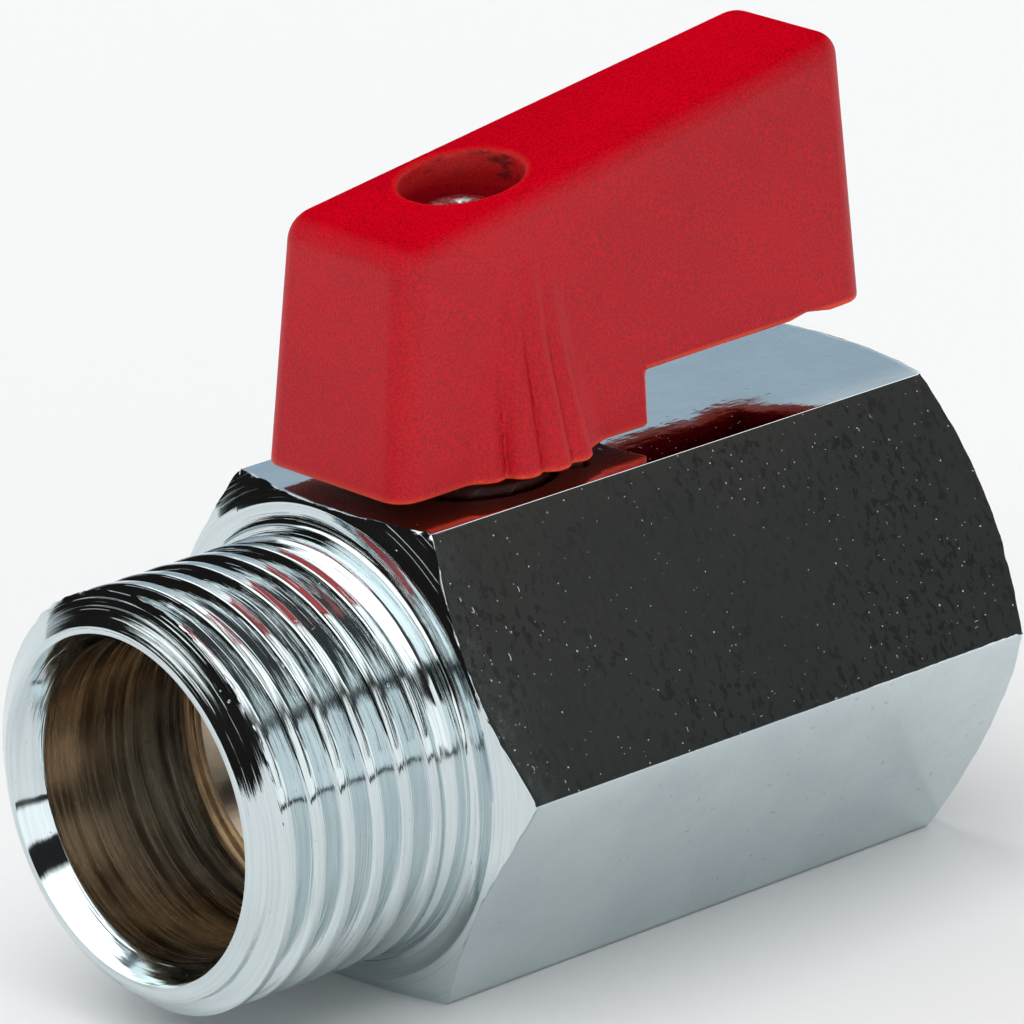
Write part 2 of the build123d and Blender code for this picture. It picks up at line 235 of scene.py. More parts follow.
def bare_brass(name, light, dark):
    """Turned brass with rings and a brown, uneven stain."""
    made, n = material(name)
    where, along, radius, side, lift = around_flow(n)
    run = n.math("ADD", along, radius)
    rings_at = n.add("ShaderNodeCombineXYZ", {0: n.math("MULTIPLY", run, 30.0), 1: side, 2: lift})
    fine = n.noise(rings_at, 130.0, 5.0, 0.7)
    bands = n.noise(rings_at, 40.0, 2.0, 0.5)
    stain = n.noise(where, 150.0, 4.0, 0.6)
    share = n.math("ADD", n.math("MULTIPLY", fine, 0.5), n.math("MULTIPLY", bands, 0.4))
    share = n.math("ADD", share, n.math("MULTIPLY", stain, 0.35))
    colour = n.blend(n.remap(share, 0.52, 0.74), dark, light)
    rough = n.remap(fine, 0.3, 0.7, 0.16, 0.32)
    normal = n.bump(n.math("ADD", fine, bands), BRASS_BUMP)
    surface(n, Base_Color=colour, Metallic=1.0, Roughness=rough, Normal=normal)
    return made


def red_plastic():
    """Moulded red plastic: grainy, deep red, with a painted highlight along its thin lower edges and
    painted shade on its hollow and downward faces.
    """
    made, n = material("red_plastic_moulded")
    where = n.add("ShaderNodeTexCoord", out="Object")
    grain = n.noise(where, 8500.0, 2.0, 0.6)
    swirl = n.noise(where, 1100.0, 3.0, 0.5)
    cloud = n.noise(where, 130.0, 3.0, 0.5)
    share = n.math("ADD", n.math("MULTIPLY", grain, 0.8), n.math("MULTIPLY", cloud, 0.2))
    colour = n.blend(n.remap(share, 0.40, 0.60), (0.43, 0.0008, 0.009), (0.66, 0.0012, 0.012))
    # Painted highlight: a brighter orange-red along the thin lower edges, the notch and faintly the
    # recess lip, standing in for light that the thin plastic edges catch and let through.
    rim = n.add("ShaderNodeAttribute", attribute_name="rim", out="Fac")
    colour = n.blend(n.math("MULTIPLY", rim, 0.9), colour, (0.95, 0.07, 0.02))
    # Painted shade: faces marked inner (the hollow core, the stem pocket, downward-facing undersides
    # and the deep recess) are darkened towards near-black, as if unlit.
    inner = n.add("ShaderNodeAttribute", attribute_name="inner", out="Fac")
    colour = n.blend(n.math("MULTIPLY", inner, 0.75), colour, (0.06, 0.0004, 0.002))
    dirt = n.add("ShaderNodeAttribute", attribute_name="dirt", out="Fac")
    low_spots = n.noise(n.stretch(where, (0.5, 0.5, 1.6)), 1000.0, 3.0, 0.6)
    spots = n.math("MULTIPLY", n.remap(low_spots, 0.54, 0.66), 0.8)
    colour = n.blend(n.math("MULTIPLY", dirt, spots), colour, (0.05, 0.006, 0.006))
    rough = n.remap(grain, 0.3, 0.7, 0.40, 0.56)
    height = n.math("ADD", grain, n.math("MULTIPLY", swirl, 0.3))
    normal = n.bump(height, PLASTIC_BUMP)
    facing = n.tree.nodes.new("ShaderNodeNewGeometry").outputs["Normal"]
    upright = n.axes(facing)[2]
    gloss = n.remap(upright, 0.2, 0.9, 0.34, 0.0)
    gloss = n.math("MULTIPLY", gloss, n.remap(inner, 0.0, 0.6, 1.0, 0.15))
    surface(n, Base_Color=colour, Roughness=rough, Normal=normal, Specular_IOR_Level=gloss)
    return made


def plain(name, colour, metallic, rough, scale, distance):
    """A simple finish with a fine uneven surface."""
    made, n = material(name)
    where = n.add("ShaderNodeTexCoord", out="Object")
    fine = n.noise(where, scale, 4.0, 0.6)
    shade = n.blend(n.remap(fine, 0.3, 0.7), tuple(c * 0.8 for c in colour), colour)
    low, high = rough
    surface(
        n,
        Base_Color=shade,
        Metallic=metallic,
        Roughness=n.remap(fine, 0.3, 0.7, low, high),
        Normal=n.bump(fine, distance),
    )
    return made


# ---- mesh helpers ----------------------------------------------------------------------------
SHARP_ANGLE = 32.0
MERGE_DISTANCE, LEAST_EDGE = 0.002, 0.0005
REVOLVE_STEPS = 96


def mesh_object(name, vertices_mm, faces, slots, face_slots=None):
    """A mesh object from millimetre vertices, in the row's frame."""
    mesh = bpy.data.meshes.new(name)
    mesh.from_pydata((np.asarray(vertices_mm, float) * MM).tolist(), [], faces)
    for one in slots:
        mesh.materials.append(one)
    if face_slots is not None:
        mesh.polygons.foreach_set("material_index", np.asarray(face_slots, np.int32))
    thing = bpy.data.objects.new(name, mesh)
    bpy.context.scene.collection.objects.link(thing)
    return thing


def merge(thing):
    """Joins vertices that coincide, and turns every face outwards."""
    work = bmesh.new()
    work.from_mesh(thing.data)
    bmesh.ops.remove_doubles(work, verts=work.verts, dist=MERGE_DISTANCE * MM)
    bmesh.ops.dissolve_degenerate(work, edges=work.edges, dist=LEAST_EDGE * MM)
    bmesh.ops.recalc_face_normals(work, faces=work.faces)
    work.to_mesh(thing.data)
    work.free()


def combine(thing, other, operation):
    """Applies a Boolean with another object, which is then removed."""
    cut = thing.modifiers.new("cut", "BOOLEAN")
    cut.operation = operation
    cut.solver = "EXACT"
    cut.object = other
    graph = bpy.context.evaluated_depsgraph_get()
    mesh = bpy.data.meshes.new_from_object(thing.evaluated_get(graph), depsgraph=graph)
    thing.modifiers.clear()
    thing.data = mesh
    bpy.data.objects.remove(other)


def shade(thing):
    """Smooth faces, with sharp edges where two of them meet at a steep angle."""
    thing.data.shade_smooth()
    thing.data.set_sharp_from_angle(angle=math.radians(SHARP_ANGLE))
    steady = thing.modifiers.new("steady", "WEIGHTED_NORMAL")
    steady.keep_sharp = True
    steady.weight = 80


def revolve(name, profile, slots):
    """Closed profile of (radius, height above the flow axis) turned round the stem's axis."""
    angles = np.linspace(0, 2 * np.pi, REVOLVE_STEPS, endpoint=False)
    points, faces = [], []
    count = len(profile)
    for angle in angles:
        for radius, height in profile:
            points.append((radius * math.cos(angle), radius * math.sin(angle), height + FLOW))
    for turn in range(REVOLVE_STEPS):
        for step in range(count):
            a = turn * count + step
            b = turn * count + (step + 1) % count
            shift = count * ((turn + 1) % REVOLVE_STEPS) - turn * count
            faces.append((a, b, b + shift, a + shift))
    thing = mesh_object(name, points, faces, slots)
    merge(thing)
    return thing


# ---- valve body ------------------------------------------------------------------------------
FLAT = 12.0  # half the width across flats
EDGE_R = 0.05  # rounding of the hexagon's long edges
CROWN_DROP, CROWN_START = 0.07, 5.1  # how far the flats fall off, and where that starts
SHOULDER_X, FEMALE_X, MALE_X = -9.8, 24.6, -22.3
CIRCLE_R = 11.85  # where the end cones start
CONE = math.tan(math.radians(60))  # radius gained per length on the end cones
MAJOR, MINOR, PITCH = 10.4775, 9.3155, 1.814
BORE_R, MOUTH_R, MOUTH_DEPTH = 7.9, 8.63, 1.5
FLANK_SLOPE = math.tan(math.radians(27.5))
MALE_CREST, MALE_ROOT = 0.25, 0.15  # half widths of the thread's flats
FEMALE_CREST = FEMALE_ROOT = (PITCH / 2 - (MAJOR - MINOR) * FLANK_SLOPE) / 2
THREAD_SOFT = 0.03  # rounding of the thread's corners

# The male end's land and two lead-in cones, and the thread's first crest over the axis and run-out.
LAND_R, LAND_EDGE_R, LEAD_R = 8.95, 9.01, 9.06
LEAD_X, KNEE_X, CORNER_X, THREAD_END_X = MALE_X + 0.05, -21.6, -21.34, -10.6
GENTLE_SLOPE, STEEP_SLOPE, CORNER_SOFT, BURR_WIDTH = 1.4, 1.9, 0.015, 0.045
MALE_FIRST_X, GRID_X, RUN_OUT = -21.45, -21.22, (-12.3, -10.7)

# The thin step before the shoulder and the flare that follows it.
NECK_X, STEP_X, STEP_RISE = -10.35, -10.15, 0.27
FLARE_X, FLARE_R, FLARE_RUN, FLARE_RISE = -10.13, MAJOR + 0.30, 0.33, 1.02

# The female end's mouth, its thread and the relief behind it, then the port and the male bore.
MOUTH_EDGE_R, LEAD_IN_R, FEMALE_THREAD_X, FEMALE_FIRST_X = 10.90, 10.86, 11.9, 22.8 - 6 * PITCH
RELIEF_X, RELIEF_R, RELIEF_SLOPE = 12.6, 10.6, 1.4
SOCKET_FLOOR_X, PORT_R, BALL_ROOM_X = 11.5, 5.0, 8.2

# Stem boss, its stop lug and the stem's hole; heights are above the flow axis.
LUG_R, LUG_INNER_R, LUG_HALF_ANGLE, LUG_HEIGHTS = 5.4, 3.5, 40, (11.5, 15.0)
BOSS_PROFILE = (
    (0.5, 10.6), (4.35, 10.6), (4.35, 12.0), (4.1, 12.12),
    (4.0, 12.35), (4.0, 16.4), (3.6, 16.8), (0.5, 16.8),
)
STEM_HOLE_PROFILE = (
    (0.0, 0.0), (4.4, 0.0), (4.4, 9.4), (3.05, 9.4), (3.05, 16.7), (3.2, 17.2), (0.0, 17.2),
)
random = np.random.default_rng(7)


def hexagon_columns():
    """Angles round the flow axis, and the hexagon's radius at each, with its edges rounded."""
    reach = FLAT - CROWN_DROP - EDGE_R  # of the rounded edges' centres, square to a flat
    half = reach * math.tan(math.radians(30))
    flat = np.concatenate([[-1, -0.985, -0.95], np.linspace(-0.92, 0.92, 33), [0.95, 0.985]]) * half
    fall = np.maximum(np.abs(flat) - CROWN_START, 0) / (half - CROWN_START)
    drop = CROWN_DROP * fall**2
    angles, radii = [], []
    for side in range(6):
        middle = math.radians(-30 + 60 * side)
        angles.extend(middle + np.arctan2(flat, FLAT - drop))
        radii.extend(np.hypot(flat, FLAT - drop))
        for step in range(3):
            turn = math.radians(60 * step / 3)
            along = reach + EDGE_R * math.cos(turn)
            across = half + EDGE_R * math.sin(turn)
            angles.append(middle + math.atan2(across, along))
            radii.append(math.hypot(across, along))
    angles.append(angles[0] + 2 * math.pi)
    radii.append(radii[0])
    return np.array(angles), np.array(radii)


HEX_ANGLES, HEX_R = hexagon_columns()
COLUMNS = len(HEX_ANGLES) - 1
ROUND_ANGLES = np.linspace(HEX_ANGLES[0], HEX_ANGLES[-1], COLUMNS + 1)
LEAN = PITCH * (ROUND_ANGLES - np.pi / 2) / (2 * np.pi)  # how far the helix has advanced


def ragged(size, smooth):
    """Uneven values round a ring, closed on itself."""
    values = random.standard_normal(COLUMNS)
    for _ in range(smooth):
        values = (values + np.roll(values, 1)) / 2
    values = values / values.std() * size
    return np.append(values, values[0])


def soft_clamp(value, low, high, soft):
    """Clamp with rounded corners."""
    value = low + soft * np.logaddexp(0, (value - low) / soft)
    return high - soft * np.logaddexp(0, (high - value) / soft)


def thread_rows(start, end, first_crest, crest, root):
    """Places along the flow of rows that follow the right-handed helix, clamped to the ends."""
    half = PITCH / 2
    foot = half - root
    marks = [0.0, 0.6 * crest, crest - 0.03, crest, crest + 0.04, crest + 0.12, (crest + foot) / 2]
    marks += [foot - 0.12, foot - 0.04, foot, foot + 0.03, half]
    marks = np.array(marks + [PITCH - mark for mark in marks[1:-1]])
    rows = []
    for turn in range(-2, int((end - start) / PITCH) + 4):
        for mark in np.sort(marks):
            rows.append(np.clip(first_crest + turn * PITCH + mark + LEAN, start, end))
    return np.array(rows)


def thread_depth(places, first_crest, crest, root):
    """Depth of the thread's V below its crest at each place."""
    phase = (places - first_crest - LEAN) / PITCH
    phase = np.abs(phase - np.round(phase)) * PITCH
    deepest = (PITCH / 2 - crest - root) / FLANK_SLOPE
    return soft_clamp((phase - crest) / FLANK_SLOPE, 0.0, deepest, THREAD_SOFT)


def smoothstep(value, low, high):
    share = np.clip((value - low) / (high - low), 0, 1)
    return share * share * (3 - 2 * share)


def stop_lug(looks):
    """Low block beside the boss that the handle stops against."""
    turns = np.radians(np.linspace(-LUG_HALF_ANGLE, LUG_HALF_ANGLE, 13))
    outline = [(LUG_R * math.cos(t), LUG_R * math.sin(t)) for t in turns]
    outline += [(LUG_INNER_R * math.cos(t), LUG_INNER_R * math.sin(t)) for t in turns[::-1]]
    points = [(x, y, FLOW + z) for z in LUG_HEIGHTS for x, y in outline]
    count = len(outline)
    faces = [tuple(range(count))[::-1], tuple(range(count, 2 * count))]
    for step in range(count):
        after = (step + 1) % count
        faces.append((step, after, after + count, step + count))
    lug = mesh_object("lug", points, faces, looks)
    merge(lug)
    return lug


TURNED, FORGED, BRASS = 0, 1, 2  # the finish of the band that leads to a ring


class Rings:
    """Rings round the flow axis, joined into one skin in the order they are added."""

    def __init__(self):
        self.rows, self.kinds = [], []

    def add(self, x, r, kind=TURNED, angles=ROUND_ANGLES):
        x, r = np.broadcast_to(x, COLUMNS + 1), np.broadcast_to(r, COLUMNS + 1)
        self.rows.append(np.stack([x, r * np.cos(angles), r * np.sin(angles) + FLOW], axis=1))
        self.kinds.append(kind)

    def steps(self, profile, kind=TURNED):
        for x, r in profile:
            self.add(x, r, kind)

    def skin(self):
        """Points, quads and the slot of each quad."""
        faces, slots = [], []
        width = COLUMNS + 1
        for row in range(len(self.rows) - 1):
            for column in range(COLUMNS):
                a = row * width + column
                faces.append((a, a + 1, a + width + 1, a + width))
            slots.extend([self.kinds[row + 1]] * COLUMNS)
        return np.concatenate(self.rows), faces, slots


def add_male_end(rings):
    """Land of the male end, its two lead-in cones, a burr, and the thread on a helical grid."""
    rings.steps(((MALE_X, MOUTH_R + 0.03), (MALE_X, LAND_R), (MALE_X + 0.02, LAND_EDGE_R)))
    burr = np.maximum(0.05 + ragged(0.04, 1), 0)
    wander = ragged(0.03, 3)

    def male_radius(x):
        """Radius at each column: the thread, cut by the lead-in cones, with the burr between."""
        depth = thread_depth(x, MALE_FIRST_X, MALE_CREST, MALE_ROOT)
        depth = depth * (1 - smoothstep(x, *RUN_OUT))
        gentle = LEAD_R + GENTLE_SLOPE * (x - LEAD_X)
        steep = LEAD_R + GENTLE_SLOPE * (KNEE_X - LEAD_X) + STEEP_SLOPE * (x - KNEE_X)
        cone = np.maximum(gentle, steep)
        radius = -CORNER_SOFT * np.logaddexp((depth - MAJOR) / CORNER_SOFT, -cone / CORNER_SOFT)
        lip = burr * np.exp(-(((x - CORNER_X - wander) / BURR_WIDTH) ** 2))
        return radius + lip * (1 - smoothstep(depth, 0.1, 0.4))

    cones = (LEAD_X, LEAD_X + 0.3, KNEE_X - 0.02, KNEE_X + 0.02)
    for x in (*cones, *np.linspace(-21.5, -21.23, 9)):
        rings.add(x, male_radius(x + np.zeros(COLUMNS + 1)))
    for places in thread_rows(GRID_X, THREAD_END_X, MALE_FIRST_X, MALE_CREST, MALE_ROOT):
        rings.add(places, male_radius(places))


def add_shoulder(rings):
    """Neck behind the thread, a thin step, and the flare up to the hexagon."""
    rings.steps(((NECK_X, MAJOR), (STEP_X - 0.02, MAJOR)))
    rings.steps(((STEP_X, MAJOR + 0.03), (STEP_X, MAJOR + STEP_RISE)))
    for turn in np.radians(np.linspace(0, 90, 7)):
        rings.add(FLARE_X + FLARE_RUN * np.sin(turn), FLARE_R + FLARE_RISE * (1 - np.cos(turn)))
    rings.add(SHOULDER_X, CIRCLE_R - 0.02)


def add_hexagon(rings):
    """Cone, hexagon, cone: the arcs where they meet carry a thin ragged burr."""
    for sign, end_x in ((1, SHOULDER_X), (-1, FEMALE_X)):
        cone_run = (HEX_R - CIRCLE_R) / CONE
        lip = np.maximum(ragged(0.025, 1) + 0.045, 0) * (1.0 if sign == 1 else 0.4)
        wander = ragged(0.02, 1)
        arc = []
        for share in (0.0, 0.3, 0.6, 0.85):
            run = np.maximum(cone_run * share, 0.004)
            arc.append((end_x + sign * run, CIRCLE_R + run * CONE, TURNED))
        arc.append((end_x + sign * cone_run * 0.95, HEX_R - 0.05 * cone_run * CONE, TURNED))
        arc.append((end_x + sign * (cone_run + 0.01 + wander), HEX_R + lip, TURNED))
        arc.append((end_x + sign * (cone_run + 0.09), HEX_R, FORGED))
        arc.append((end_x + sign * (cone_run + 0.3), HEX_R, FORGED))
        if sign == 1:
            arc += [(x, HEX_R, FORGED) for x in np.linspace(-8.0, 22.8, 22)]
        else:
            order = arc[::-1]
            arc = [(x, r, FORGED if step < 3 else TURNED) for step, (x, r, _) in enumerate(order)]
        for x, r, kind in arc:
            rings.add(x, r, kind, HEX_ANGLES)


def add_female_end(rings):
    """Female end face, lead-in and thread, and the relief down to the socket's floor."""
    face = ((FEMALE_X, CIRCLE_R - 0.06), (FEMALE_X, MOUTH_EDGE_R + 0.06))
    rings.steps((*face, (FEMALE_X - 0.02, MOUTH_EDGE_R)))
    end = FEMALE_X - 0.05
    places = thread_rows(FEMALE_THREAD_X, end, FEMALE_FIRST_X, FEMALE_CREST, FEMALE_ROOT)[::-1]
    walls = MINOR + thread_depth(places, FEMALE_FIRST_X, FEMALE_CREST, FEMALE_ROOT)
    lead = LEAD_IN_R - (end - places)
    relief = RELIEF_R - np.maximum(places - RELIEF_X, 0) * RELIEF_SLOPE
    for place, r, a, b in zip(places, walls, lead, relief):
        radius = THREAD_SOFT * np.logaddexp(
            np.logaddexp(r / THREAD_SOFT, a / THREAD_SOFT), b / THREAD_SOFT
        )
        rings.add(place, np.minimum(radius, np.maximum(MAJOR, np.maximum(a, b))))
    rings.add(SOCKET_FLOOR_X + 0.1, RELIEF_R)


def add_bore(rings):
    """Socket floor, port, room for the ball, male bore and the countersink of its mouth."""
    floor_x, ball_x = SOCKET_FLOOR_X, BALL_ROOM_X
    rings.steps(((floor_x, RELIEF_R - 0.1), (floor_x, 8.0), (floor_x, PORT_R + 0.2)), BRASS)
    rings.steps(((floor_x - 0.2, PORT_R), (ball_x + 0.1, PORT_R), (ball_x, PORT_R + 0.1)), BRASS)
    rings.steps(((ball_x, BORE_R - 0.1), (ball_x - 0.1, BORE_R)), BRASS)
    rings.steps([(x, BORE_R) for x in np.linspace(4.0, -20.6, 12)], BRASS)
    mouth_end = MALE_X + MOUTH_DEPTH
    rings.steps(((mouth_end + 0.04, BORE_R), (mouth_end, BORE_R + 0.01)), BRASS)
    for share in (0.04, 0.35, 0.65, 0.96):
        rings.add(mouth_end - share * MOUTH_DEPTH, BORE_R + share * (MOUTH_R - BORE_R))
    rings.steps(((MALE_X + 0.01, MOUTH_R + 0.005), (MALE_X, MOUTH_R + 0.03)))


def build_body():
    """The body with its boss and lug, less the stem's hole with the pocket for its collar."""
    rings = Rings()
    for add in (add_male_end, add_shoulder, add_hexagon, add_female_end, add_bore):
        add(rings)
    points, faces, slots = rings.skin()
    bore = bare_brass("brass_bore", (0.95, 0.82, 0.64), (0.17, 0.135, 0.10))
    looks = [turned_chrome(), forged_chrome(), bore]
    body = mesh_object("chromed_body", points, faces, looks, slots)
    merge(body)
    combine(body, revolve("boss", BOSS_PROFILE, looks), "UNION")
    combine(body, stop_lug(looks), "UNION")
    combine(body, revolve("hole", STEM_HOLE_PROFILE, looks), "DIFFERENCE")
    shade(body)
    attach(body, "valve")
    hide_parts("valve_body")
    return body


# ---- lever handle ----------------------------------------------------------------------------
# The handle is the zero surface of a field that is negative inside the plastic. Its sizes are the
# handle's driving dimensions; heights are above the flow axis.
SKIRT_BOTTOM, ARM_UNDERSIDE = 12.8, 15.6
SKIRT_LEFT_X, SKIRT_RIGHT_X = -9.0, 7.3
TIP_BOTTOM_X, TIP_TOP_X, TOP_LEFT_X = 22.5, 21.7, -7.6
TOP_HEIGHT, TOP_SLOPE = 26.15, 0.15
HALF_WIDTH_LEFT, HALF_WIDTH_TIP = 5.15, 4.5
SIDE_DRAFT = math.tan(math.radians(2.0))
CORNER_ROUND, TOP_ROUND, LOWER_ROUND = 1.4, 1.2, 0.22
TIP_RELIEF = ((17.2, 15.6), (18.3, 15.78), (20.0, 15.5))
FLUTE_ANGLES = (-34.0, -16.0, 1.0, 17.0)
FLUTE_R, FLUTE_CIRCLE_R, FLUTE_GAP = 1.05, 5.68, 0.05
COVER_R, COVER_HEIGHT, COVER_SCALE, COVER_BLEND = 6.2, 9.0, 0.68, 0.5
COVER_TOP = 23.4
POCKET_R, POCKET_STEP, UPPER_POCKET_R, RIB_R = 5.6, 15.2, 4.6, 4.2
RIB_START, RIB_END = math.radians(130.5), math.radians(319.5)
STEM_SHOULDER, SEAT_R, SEAT_HALF = 17.6, 3.05, 2.25
WEB_BOTTOM, WEB_TOP, SCREW_HOLE_R, RECESS_R, RECESS_ROUND = 21.5, 22.3, 1.65, 3.05, 0.3
CORE_LEFT_X, CORE_RIGHT_X, CORE_HALF, CORE_ROOF = 8.6, 20.7, 3.24, 1.7
GRID = 0.19


def both(a, b, radius=0.0):
    """Inside a and inside b, with the edge between them rounded."""
    if radius == 0.0:
        return np.maximum(a, b)
    over = np.hypot(np.maximum(radius + a, 0), np.maximum(radius + b, 0))
    return np.minimum(np.maximum(a, b), -radius) + over


def either(a, b, radius=0.0):
    """Inside a or inside b, with the corner between them filled to a radius."""
    return -both(-a, -b, radius)


def slope_plane(x, z, foot, top):
    """Distance from a face that leans between two (x, height) points, positive on its +X side."""
    run, rise = top[0] - foot[0], top[1] - foot[1]
    return ((x - foot[0]) * rise - (z - foot[1]) * run) / math.hypot(run, rise)


def arm_outline(x, y, z):
    """Slab with leaning ends, drafted sides, a sloping top and the notch under the arm."""
    share = (x - SKIRT_LEFT_X) / (TIP_BOTTOM_X - SKIRT_LEFT_X)
    half_width = HALF_WIDTH_LEFT + (HALF_WIDTH_TIP - HALF_WIDTH_LEFT) * share
    sides = np.abs(y) - half_width + (z - SKIRT_BOTTOM) * SIDE_DRAFT
    left_top = (TOP_LEFT_X, TOP_HEIGHT + TOP_SLOPE * TOP_LEFT_X)
    tip_top = (TIP_TOP_X, TOP_HEIGHT + TOP_SLOPE * TIP_TOP_X)
    left = -slope_plane(x, z, (SKIRT_LEFT_X, SKIRT_BOTTOM), left_top)
    tip = slope_plane(x, z, (TIP_BOTTOM_X, ARM_UNDERSIDE), tip_top)
    top = (z - TOP_HEIGHT - TOP_SLOPE * x) / math.hypot(1, TOP_SLOPE)
    outline = both(both(sides, left, CORNER_ROUND), tip, CORNER_ROUND)
    outline = both(outline, top, TOP_ROUND)
    relief_x, relief_height = zip(*TIP_RELIEF, (TIP_BOTTOM_X, ARM_UNDERSIDE))
    underside = np.interp(x, relief_x, relief_height) - z
    notch = either(x - SKIRT_RIGHT_X, underside, LOWER_ROUND)
    return both(outline, notch, LOWER_ROUND)


def fluted_cover(x, y, z):
    """Cover round the stem boss, with upright flutes on both sides, narrowing as it rises."""
    scale = 1 + (COVER_SCALE - 1) * (z - SKIRT_BOTTOM) / COVER_HEIGHT
    cover = np.hypot(x, y) - COVER_R * scale
    for side in (-1, 1):
        for angle in FLUTE_ANGLES:
            turn = side * math.radians(90 - angle)
            across = x - FLUTE_CIRCLE_R * scale * math.cos(turn)
            deep = y - FLUTE_CIRCLE_R * scale * math.sin(turn)
            cover = either(cover, np.hypot(across, deep) - FLUTE_R * scale, FLUTE_GAP)
    return cover


def stem_pocket(x, y, z):
    """Room for the body's boss and its lug, the stem's seat, the screw hole and its recess."""
    reach = np.hypot(x, y)
    start, end = RIB_END, RIB_START
    sector = np.maximum(
        math.sin(start) * x - math.cos(start) * y,
        math.cos(end) * y - math.sin(end) * x,
    )
    room = np.maximum(np.maximum(reach - POCKET_R, z - POCKET_STEP), sector)
    room = np.minimum(room, np.maximum(reach - RIB_R, z - STEM_SHOULDER))
    upper = np.maximum(np.maximum(reach - UPPER_POCKET_R, z - STEM_SHOULDER), POCKET_STEP - z)
    room = np.minimum(room, upper)
    seat = np.maximum(np.maximum(reach - SEAT_R, np.abs(y) - SEAT_HALF), z - WEB_BOTTOM)
    room = np.minimum(room, np.maximum(seat, SKIRT_BOTTOM - z))
    return np.minimum(room, np.maximum(reach - SCREW_HOLE_R, SKIRT_BOTTOM - z))


def lever_field(x, y, z):
    """Signed distance, near enough, from the surface of the handle."""
    cover = both(fluted_cover(x, y, z), z - COVER_TOP)
    field = either(arm_outline(x, y, z), cover, COVER_BLEND)
    field = both(field, SKIRT_BOTTOM - z, LOWER_ROUND)
    recess = np.maximum(np.hypot(x, y) - RECESS_R, WEB_TOP - z)
    field = both(field, -recess, RECESS_ROUND)
    field = both(field, -stem_pocket(x, y, z), 0.0)
    roof = z - (TOP_HEIGHT + TOP_SLOPE * x - CORE_ROOF)
    core = np.maximum(np.maximum(CORE_LEFT_X - x, x - CORE_RIGHT_X), np.abs(y) - CORE_HALF)
    return both(field, -np.maximum(core, roof), LOWER_ROUND)


def field_slope(field, points, step=0.004):
    """Gradient of a field at each point, by central differences."""
    slope = np.empty_like(points)
    for axis in range(3):
        shift = np.zeros(3)
        shift[axis] = step
        slope[:, axis] = (field(*(points + shift).T) - field(*(points - shift).T)) / (2 * step)
    return slope


def skin(field, axes):
    """Quads over the zero surface of a field: one vertex in each grid cell that it crosses."""
    values = field(*np.meshgrid(*axes, indexing="ij"))
    solid = values < 0
    cells = tuple(count - 1 for count in solid.shape)
    corners = [(i, j, k) for i in (0, 1) for j in (0, 1) for k in (0, 1)]
    filled = np.zeros(cells, np.int8)
    for i, j, k in corners:
        filled += solid[i : i + cells[0], j : j + cells[1], k : k + cells[2]]
    crossed = (filled > 0) & (filled < len(corners))
    number = np.full(cells, -1)
    number[crossed] = np.arange(crossed.sum())
    places = np.argwhere(crossed)

    # Each vertex starts at the mean of the places where the cell's edges cross the surface.
    total = np.zeros((len(places), 3))
    hits = np.zeros(len(places))
    for axis in range(3):
        for i, j, k in corners:
            offset = np.array((i, j, k))
            if offset[axis]:
                continue
            low = places + offset
            high = low.copy()
            high[:, axis] += 1
            a, b = values[tuple(low.T)], values[tuple(high.T)]
            cross = (a < 0) != (b < 0)
            share = np.where(cross, a / np.where(cross, a - b, 1), 0)
            start = np.stack([axes[d][low[:, d]] for d in range(3)], axis=1)
            step = axes[axis][high[:, axis]] - axes[axis][low[:, axis]]
            start[:, axis] += share * step
            total += start * cross[:, None]
            hits += cross
    points = total / hits[:, None]

    # One quad round each grid edge that crosses the surface.
    quads = []
    for axis in range(3):
        a, b = (axis + 1) % 3, (axis + 2) % 3
        change = np.diff(solid.astype(np.int8), axis=axis) != 0
        edges = np.argwhere(change)
        inner = (edges[:, a] > 0) & (edges[:, b] > 0)
        inner &= (edges[:, a] < solid.shape[a] - 1) & (edges[:, b] < solid.shape[b] - 1)
        edges = edges[inner]
        loop = []
        for back_a, back_b in ((0, 0), (1, 0), (1, 1), (0, 1)):
            cell = edges.copy()
            cell[:, a] -= back_a
            cell[:, b] -= back_b
            loop.append(number[tuple(cell.T)])
        quad = np.stack(loop, axis=1)
        inward = ~solid[tuple(edges.T)]
        quad[inward] = quad[inward][:, ::-1]
        quads.append(quad)

    for _ in range(4):
        slope = field_slope(field, points)
        size = np.maximum((slope**2).sum(axis=1), 0.2)
        move = field(*points.T) / size
        points -= np.clip(move, -GRID / 2, GRID / 2)[:, None] * slope
    return points, np.concatenate(quads)


def mark(thing, name, values):
    """Stores one number for each vertex, for the material to read."""
    stored = thing.data.attributes.new(name, "FLOAT", "POINT")
    stored.data.foreach_set("value", np.asarray(values, np.float32))


